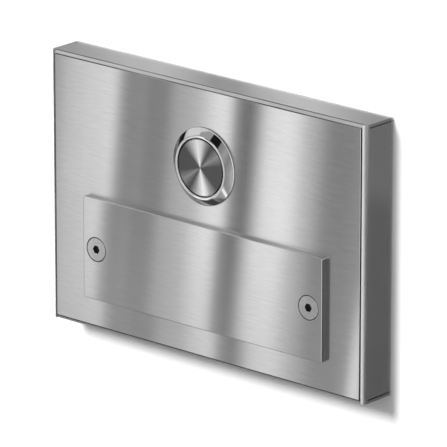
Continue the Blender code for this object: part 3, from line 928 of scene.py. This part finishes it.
def return_spring():
    sizes = {
        "Turns": COIL_TURNS,
        "Coil radius": COIL * MM,
        "Wire radius": WIRE * MM,
        "Height": (SPRING_BACK - SPRING_FRONT - 2 * WIRE) * MM,
    }
    tree = PieceTree("coil", sizes)
    size = tree.input
    spiral = tree.node(
        "GeometryNodeCurveSpiral",
        Resolution=40,
        Rotations=size["Turns"],
        Start_Radius=size["Coil radius"],
        End_Radius=size["Coil radius"],
        Height=size["Height"],
    )
    section = tree.node(
        "GeometryNodeCurvePrimitiveCircle", Resolution=14, Radius=size["Wire radius"]
    )
    swept = tree.node(
        "GeometryNodeCurveToMesh", Curve=spiral, Profile_Curve=section, Fill_Caps=True
    )
    laid = tree.node(
        "GeometryNodeTransform",
        Geometry=swept,
        Translation=(0.0, (SPRING_FRONT + WIRE) * MM, BUTTON_Z * MM),
        Rotation=(-math.pi / 2, 0.0, 0.0),
    )
    made = tree.piece("fine_return_spring", laid, SPRING)
    place(made, ["return_spring"])
    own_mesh(made)
    return made


return_spring()

# %% [markdown]
# ## Back
# The back plate is a plain zinc plated sheet with two upright slots for the wall screws and a long
# pressed rib above and below them.  A soft grommet lets the bell wire through.  The ribs could be
# modelled as bends, but seen from behind a shallow sunk slot looks the same.

# %% Back plate and grommet
GROMMET_Z = -12.0
SLOT_X = 52.0
RIB_Z = 33.0
RIB_DEPTH = 0.35


def back_plate():
    shape = prism_shape(box_outline(63.7, 43.7), -1.0, 0.0)
    plate = add_object("back_plate", shape, ZINC)
    holes = [prism_shape(circle(6.0, 0.0, GROMMET_Z, 64), -2.0, 1.0)]
    for side in (-1, 1):
        holes.append(prism_shape(slot_outline(5.0, 12.0, side * SLOT_X, 0.0), -2.0, 1.0))
    for level in (-1, 1):
        rib = slot_outline(2.4, 84.0, 0.0, 0.0)
        rib = [(z, x + level * RIB_Z) for x, z in rib]
        holes.append(prism_shape(rib, -RIB_DEPTH, 1.0))
    cut(plate, holes, edge=0.10)
    return place(plate, ["back_plate"])


def cable_grommet():
    profile = [(3.2, -0.2), (5.7, -0.2), (5.7, -1.3), (8.0, -1.3), (8.0, -2.2)]
    profile += [(7.2, -2.8), (3.2, -2.8)]
    grommet = turned("cable_grommet", profile, RUBBER, 96, (0.0, GROMMET_Z), edge=0.3)
    return place(grommet, ["cable_grommet"])


back_plate()
cable_grommet()

# %% [markdown]
# ## Hidden parts
# What can't be seen keeps the model's own shape.  It could be made again too, but nobody would see
# the difference.  It only gets the same finishes, for when the panel is opened.

# %% Surfaces of the hidden parts
HIDDEN = {
    "support_frame": ZINC,
    "plate_gasket": RUBBER,
    "threaded_post_left": ZINC,
    "threaded_post_right": ZINC,
    "plunger": PALE,
    "retaining_clip": SPRING,
    "contact_block": PLASTIC,
    "contact_cover": PLASTIC,
    "contact_bridge": BRASS,
    "terminal_left": BRASS,
    "terminal_right": BRASS,
    "terminal_clamp_left": BRASS,
    "terminal_clamp_right": BRASS,
    "terminal_screw_left": ZINC,
    "terminal_screw_right": ZINC,
}
for name, material in HIDDEN.items():
    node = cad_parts[name]
    for index in range(max(len(node.material_slots), 1)):
        if node.material_slots:
            node.material_slots[index].material = material
        else:
            node.data.materials.append(material)
print("hidden parts", len(HIDDEN))

# %% [markdown]
# ## Camera
# A long lens looks from the right and a little above, as a panel is shown in a catalogue.  A short
# lens could stand closer, but it would bend the straight edges apart.

# %% Camera
LENS = 453.342
AWAY = 1765.6
AIM_RIGHT, AIM_UP = 5.92, 0.28
forward = Vector((
    -math.sin(AZIMUTH) * math.cos(ELEVATION),
    math.cos(AZIMUTH) * math.cos(ELEVATION),
    -math.sin(ELEVATION),
))
right = Vector((math.cos(AZIMUTH), math.sin(AZIMUTH), 0.0))
up = right.cross(forward)
target = Vector((0.0, FRONT, 0.0)) + right * AIM_RIGHT + up * AIM_UP
camera_data = bpy.data.cameras.new("camera")
camera_data.sensor_width = 36.0
camera_data.lens = LENS
camera_data.clip_end = 10.0
camera = bpy.data.objects.new("camera", camera_data)
camera.location = (target - forward * AWAY) * MM
camera.rotation_mode = "QUATERNION"
camera.rotation_quaternion = forward.to_track_quat("-Z", "Y")
bpy.context.scene.collection.objects.link(camera)
bpy.context.scene.camera = camera
print("camera", [round(v, 4) for v in camera.location])

# %% [markdown]
# ## Stage
# A pale board stands behind the panel, as a wall does.  A plain sheet would hide the back and keep
# the light from it.  So the board is see-through from behind and open where the panel covers it.

# %% Backdrop
BOARD_Y = 0.15
BOARD_HALF = 1500
OPENING_IN = 1.5


def backdrop():
    shape = bmesh.new()
    outer = [shape.verts.new((x, BOARD_Y, z)) for x, z in box_outline(BOARD_HALF, BOARD_HALF)]
    hidden = box_outline(WIDTH / 2 - OPENING_IN, HEIGHT / 2 - OPENING_IN)
    inner = [shape.verts.new((x, BOARD_Y, z)) for x, z in hidden]
    for index in range(4):
        after = (index + 1) % 4
        shape.faces.new((outer[index], outer[after], inner[after], inner[index]))
    mesh = bpy.data.meshes.new("backdrop")
    shape.to_mesh(mesh)
    shape.free()
    mesh.transform(Matrix.Scale(MM, 4))
    board = bpy.data.objects.new("backdrop", mesh)
    bpy.context.scene.collection.objects.link(board)
    material = bpy.data.materials.new("backdrop")
    material.use_nodes = True
    tree = material.node_tree
    shader = tree.nodes["Principled BSDF"]
    shader.inputs["Base Color"].default_value = (0.9, 0.9, 0.9, 1.0)
    shader.inputs["Roughness"].default_value = 0.9
    shader.inputs["Specular IOR Level"].default_value = 0.1
    clear = tree.nodes.new("ShaderNodeBsdfTransparent")
    side = tree.nodes.new("ShaderNodeNewGeometry").outputs["Backfacing"]
    mix = tree.nodes.new("ShaderNodeMixShader")
    tree.links.new(side, mix.inputs["Fac"])
    tree.links.new(shader.outputs["BSDF"], mix.inputs[1])
    tree.links.new(clear.outputs["BSDF"], mix.inputs[2])
    tree.links.new(mix.outputs["Shader"], tree.nodes["Material Output"].inputs["Surface"])
    mesh.materials.append(material)
    return board


backdrop()

# %% [markdown]
# ## The room
# The room is bright above and dim below.  An environment picture could give that too, but a ramp over
# the height is enough for a panel whose reflections come from papers close to it.

# %% World
ROOM = ((0.0, 0.06), (0.36, 0.12), (0.52, 0.55), (0.66, 0.95), (1.0, 0.80))


def studio_world():
    """A studio that is bright above, grey at eye height and dim below."""
    world = bpy.data.worlds.new("studio")
    world.use_nodes = True
    tree = world.node_tree
    coords = tree.nodes.new("ShaderNodeTexCoord").outputs["Generated"]
    parts = tree.nodes.new("ShaderNodeSeparateXYZ")
    tree.links.new(coords, parts.inputs["Vector"])
    height = tree.nodes.new("ShaderNodeMapRange")
    height.inputs["From Min"].default_value = -1.0
    tree.links.new(parts.outputs["Z"], height.inputs["Value"])
    ramp = tree.nodes.new("ShaderNodeValToRGB")
    fill_ramp(ramp, ROOM)
    tree.links.new(height.outputs["Result"], ramp.inputs["Fac"])
    tree.links.new(ramp.outputs["Color"], tree.nodes["Background"].inputs["Color"])
    bpy.context.scene.world = world
    print("room", len(ROOM), "stops")


studio_world()

# %% [markdown]
# ## Key light
# A soft key from the upper left throws a short shadow to the right and down.  It is kept out of the
# reflections, because a lamp's own image would stand as a hot spot on the steel.

# %% Key light
KEY_PLACE = Vector((-0.26, -1.47, 0.89))
KEY_SIZE = 0.50
KEY_POWER = 31.0


def key_light():
    data = bpy.data.lights.new("key", "AREA")
    data.shape = "DISK"
    data.size = KEY_SIZE
    data.energy = KEY_POWER
    light = bpy.data.objects.new("key", data)
    light.location = KEY_PLACE
    light.rotation_mode = "QUATERNION"
    aim = Vector((0.0, FRONT * MM, 0.0))
    light.rotation_quaternion = (aim - KEY_PLACE).to_track_quat("-Z", "Y")
    light.visible_glossy = False
    bpy.context.scene.collection.objects.link(light)
    print("key", [round(v, 2) for v in light.location], KEY_POWER, "W")


key_light()

# %% [markdown]
# ## Papers for the reflections
# Steel shows what stands round it more than its own colour, and brushed steel draws it out as tall
# bands.  An empty studio would leave the plate dull, so papers hang close to it.  They glow by
# themselves and only reflections see them, so they cast no light or shadow.

# %% Paper helpers


class Glow(Build):
    """A material that shines by itself."""

    def __init__(self, name):
        super().__init__(name)
        self.tree.nodes.remove(self.shader)
        self.shader = self.node("ShaderNodeEmission")
        surface = self.tree.nodes["Material Output"].inputs["Surface"]
        self.link(self.shader.outputs["Emission"], surface)


def glowing(name, stops, axis="X", strength=1.0):
    """The glow changes along X or Z, from one (place, glow) to the next."""
    build = Glow(name)
    first, last = stops[0][0], stops[-1][0]
    share = build.span(build.part(build.coords, axis), 0.0, 1.0, first * MM, last * MM)
    tones = build.ramp(share, [((at - first) / (last - first), glow) for at, glow in stops])
    build.link(tones, build.shader.inputs["Color"])
    build.set(Strength=strength)
    return build.material


def upright(low, high, y):
    """The corners of a sheet that stands parallel to the board, between two (x, z) corners."""
    outline = ((low[0], low[1]), (high[0], low[1]), (high[0], high[1]), (low[0], high[1]))
    return [(x, y, z) for x, z in outline]


def paper(name, corners, material):
    """Hangs up a sheet that only reflections see."""
    shape = bmesh.new()
    shape.faces.new([shape.verts.new(corner) for corner in corners])
    mesh = bpy.data.meshes.new(name)
    shape.to_mesh(mesh)
    shape.free()
    mesh.transform(Matrix.Scale(MM, 4))
    mesh.materials.append(material)
    sheet = bpy.data.objects.new(name, mesh)
    bpy.context.scene.collection.objects.link(sheet)
    sheet.visible_camera = False
    sheet.visible_diffuse = False
    sheet.visible_shadow = False
    sheet.visible_transmission = False
    sheet.visible_volume_scatter = False
    print("paper", name)


# %% [markdown]
# ### Where the strips hang
# A sheet of upright light and dark strips hangs in front of the plate.  A flat mirror shows the camera
# a point further out than the place where it is seen, so seen_at gives that point on the sheet for
# each place on the plate.  The strips could be shifted by eye, but this saves the trying.

# %% Where the strips hang
STRIP_GAP = 50.0
STRIPS_LOW = (-200.0, -130.0)
STRIPS_HIGH = (200.0, 80.0)
plate_distance = -(camera.location.y / MM) + FRONT
REACH = (plate_distance + STRIP_GAP) / plate_distance


def seen_at(x):
    """Where on the strips the camera sees in a flat mirror at this x on the plate."""
    eye = camera.location.x / MM
    return eye + (x - eye) * REACH


print("strips reach", round(seen_at(-WIDTH / 2), 1), "to", round(seen_at(WIDTH / 2), 1))

# %% [markdown]
# ### Strips
# BANDS says how bright the plate is to look at, at each place along X.  The strips lean a little, fade
# towards the bottom and have fine folds, as hung paper has.  Straight, even strips would look drawn.
# A bright glint by itself lights the lower end of the plate on the right.

# %% Strips
BANDS = [
    (-120.0, 0.20),
    (-74.0, 0.30),
    (-66.0, 0.60),
    (-60.0, 0.84),
    (-54.0, 1.04),
    (-46.0, 1.10),
    (-37.6, 1.18),
    (-35.8, 0.32),
    (-31.0, 0.30),
    (-27.5, 0.43),
    (-23.0, 0.32),
    (-17.0, 0.36),
    (-14.0, 0.62),
    (-4.0, 0.84),
    (3.0, 1.32),
    (10.0, 1.32),
    (12.0, 0.14),
    (18.5, 0.14),
    (25.0, 1.40),
    (35.0, 1.36),
    (42.0, 0.76),
    (50.0, 0.33),
    (56.0, 0.34),
    (66.0, 0.46),
    (74.0, 0.30),
    (84.0, 0.56),
    (100.0, 0.30),
    (130.0, 0.20),
]
BRIGHTEST = 1.6
LEAN = 0.095
LEAN_LEVEL = 5.0
HAZE_TONE = 0.42
HAZE_MOST = 0.36
HAZE_START, HAZE_END = -8.0, -62.0
DIM_START, DIM_END = -80.0, -100.0
DIM_LEAST = 0.25
FOLD_SCALE = 330.0
FOLD_DEPTH = 0.16


def glint(build, across_x, level):
    """A bright streak that stands low down at the right, slanted, with soft sides."""
    middle, foot, slope = 20.0, -61.5, 0.116
    full, faded, strength = 1.6, 3.6, 0.60
    top, bottom = -12.0, -48.0
    slant = build.maths("MULTIPLY_ADD", build.maths("SUBTRACT", level, foot * MM), -slope, across_x)
    aside = build.maths("ABSOLUTE", build.maths("SUBTRACT", slant, middle * MM))
    streak = build.span(aside, 0.0, strength, faded * MM, full * MM)
    return build.maths("MULTIPLY", streak, build.span(level, 0.0, 1.0, top * MM, bottom * MM))


def strips():
    build = Glow("paper strips")
    across_x = build.part(build.coords, "X")
    level = build.part(build.coords, "Z")
    above = build.maths("SUBTRACT", level, LEAN_LEVEL * MM)
    along = build.maths("MULTIPLY_ADD", above, -LEAN, across_x)
    first, last = BANDS[0][0], BANDS[-1][0]
    share = build.span(along, 0.0, 1.0, seen_at(first) * MM, seen_at(last) * MM)
    places = [((x - first) / (last - first), tone / BRIGHTEST) for x, tone in BANDS]
    tones = build.ramp(share, places)
    haze = build.span(level, 0.0, HAZE_MOST, HAZE_START * MM, HAZE_END * MM)
    faded = build.node("ShaderNodeMix", data_type="RGBA")
    faded.inputs["B"].default_value = (HAZE_TONE, HAZE_TONE, HAZE_TONE, 1.0)
    build.link(haze, faded.inputs["Factor"])
    build.link(tones, faded.inputs["A"])
    lighter = build.node("ShaderNodeVectorMath")
    build.link(faded.outputs["Result"], lighter.inputs[0])
    build.link(glint(build, across_x, level), lighter.inputs[1])
    build.link(lighter.outputs["Vector"], build.shader.inputs["Color"])
    folds = build.node("ShaderNodeTexNoise", noise_dimensions="1D")
    folds.inputs["Scale"].default_value = FOLD_SCALE
    folds.inputs["Detail"].default_value = 4.0
    folds.inputs["Roughness"].default_value = 0.65
    build.link(along, folds.inputs["W"])
    shade = build.span(folds.outputs["Fac"], 1.0 - FOLD_DEPTH, 1.0 + FOLD_DEPTH, 0.25, 0.75)
    dim = build.span(level, DIM_LEAST, 1.0, DIM_END * MM, DIM_START * MM)
    strength = build.maths("MULTIPLY", build.maths("MULTIPLY", dim, BRIGHTEST), shade)
    build.link(strength, build.shader.inputs["Strength"])
    corners = upright(STRIPS_LOW, STRIPS_HIGH, FRONT - STRIP_GAP)
    paper("paper strips", corners, build.material)


strips()

# %% [markdown]
# ### Felts and flags
# Dark felt lies on the board at both sides and grey card above and below.  They give the narrow
# sides the depth that a dim room gives them.  A bright card beside the strips draws the line of
# light on the rounded edge, and black flags make the dark segments in the polished bezel.

# %% Felts and flags
FELT_Y = -0.02
FAR = 400.0
TALL = 300.0
PANEL_X = 66.0
PANEL_Z = 45.5
RIGHT = [(-60.0, 0.145), (14.0, 0.165), (21.0, 0.235), (60.0, 0.225)]
LEFT = [(-60.0, 0.12), (60.0, 0.06)]
BELOW = [(-60.0, 0.52), (60.0, 0.54)]
ABOVE = [
    (-80.0, 0.50),
    (-66.0, 0.54),
    (-45.0, 0.74),
    (-30.0, 0.78),
    (-20.0, 0.66),
    (-8.0, 0.48),
    (2.0, 0.50),
    (12.0, 0.70),
    (24.0, 0.84),
    (34.0, 0.82),
    (46.0, 0.64),
    (58.0, 0.48),
]
BESIDE = [(62.0, 1.0), (76.0, 0.85), (100.0, 0.40), (128.0, 0.15)]
OVER = [(-62.0, 0.45), (-13.0, 0.45), (-12.0, 0.01), (13.0, 0.01)]
AT_THE_LEFT = [(-250.0, 0.01), (250.0, 0.01)]
OVERHEAD = [(-250.0, 0.02), (250.0, 0.02)]
FELTS = (
    ("felt right", (PANEL_X, -TALL), (FAR, TALL), FELT_Y, RIGHT, "Z", 1.0),
    ("felt left", (-FAR, -PANEL_Z), (-PANEL_X, PANEL_Z), FELT_Y, LEFT, "Z", 1.0),
    ("felt below", (-FAR, -TALL), (PANEL_X, -PANEL_Z), FELT_Y, BELOW, "X", 1.0),
    ("card above", (-FAR, PANEL_Z), (PANEL_X, TALL), FELT_Y, ABOVE, "X", 1.0),
    ("card at the right", (62.0, -130.0), (130.0, 80.0), -62.0, BESIDE, "X", 2.0),
    ("flag over the button", (-62.0, 52.0), (13.0, 86.0), -62.5, OVER, "X", 1.0),
)
for name, low, high, y, stops, axis, strength in FELTS:
    paper(name, upright(low, high, y), glowing(name, stops, axis, strength))
flag_edges = ((0.0, -100.0), (0.0, 100.0), (-40.0, 100.0), (-40.0, -100.0))
side_flag = [(-250.0, y, z) for y, z in flag_edges]
paper("flag at the left", side_flag, glowing("flag at the left", AT_THE_LEFT))
top_flag = [(x, y, 90.0) for x, y in ((-250.0, 0.0), (66.0, 0.0), (66.0, -12.0), (-250.0, -12.0))]
paper("flag above", top_flag, glowing("flag above", OVERHEAD))

# %% [markdown]
# ## Colour
# Blender's default view softens bright tones, which would turn the white board grey.  The plain
# Standard view leaves it white.

# %% Finish
bpy.context.scene.view_settings.view_transform = "Standard"
bpy.context.scene.view_settings.look = "None"
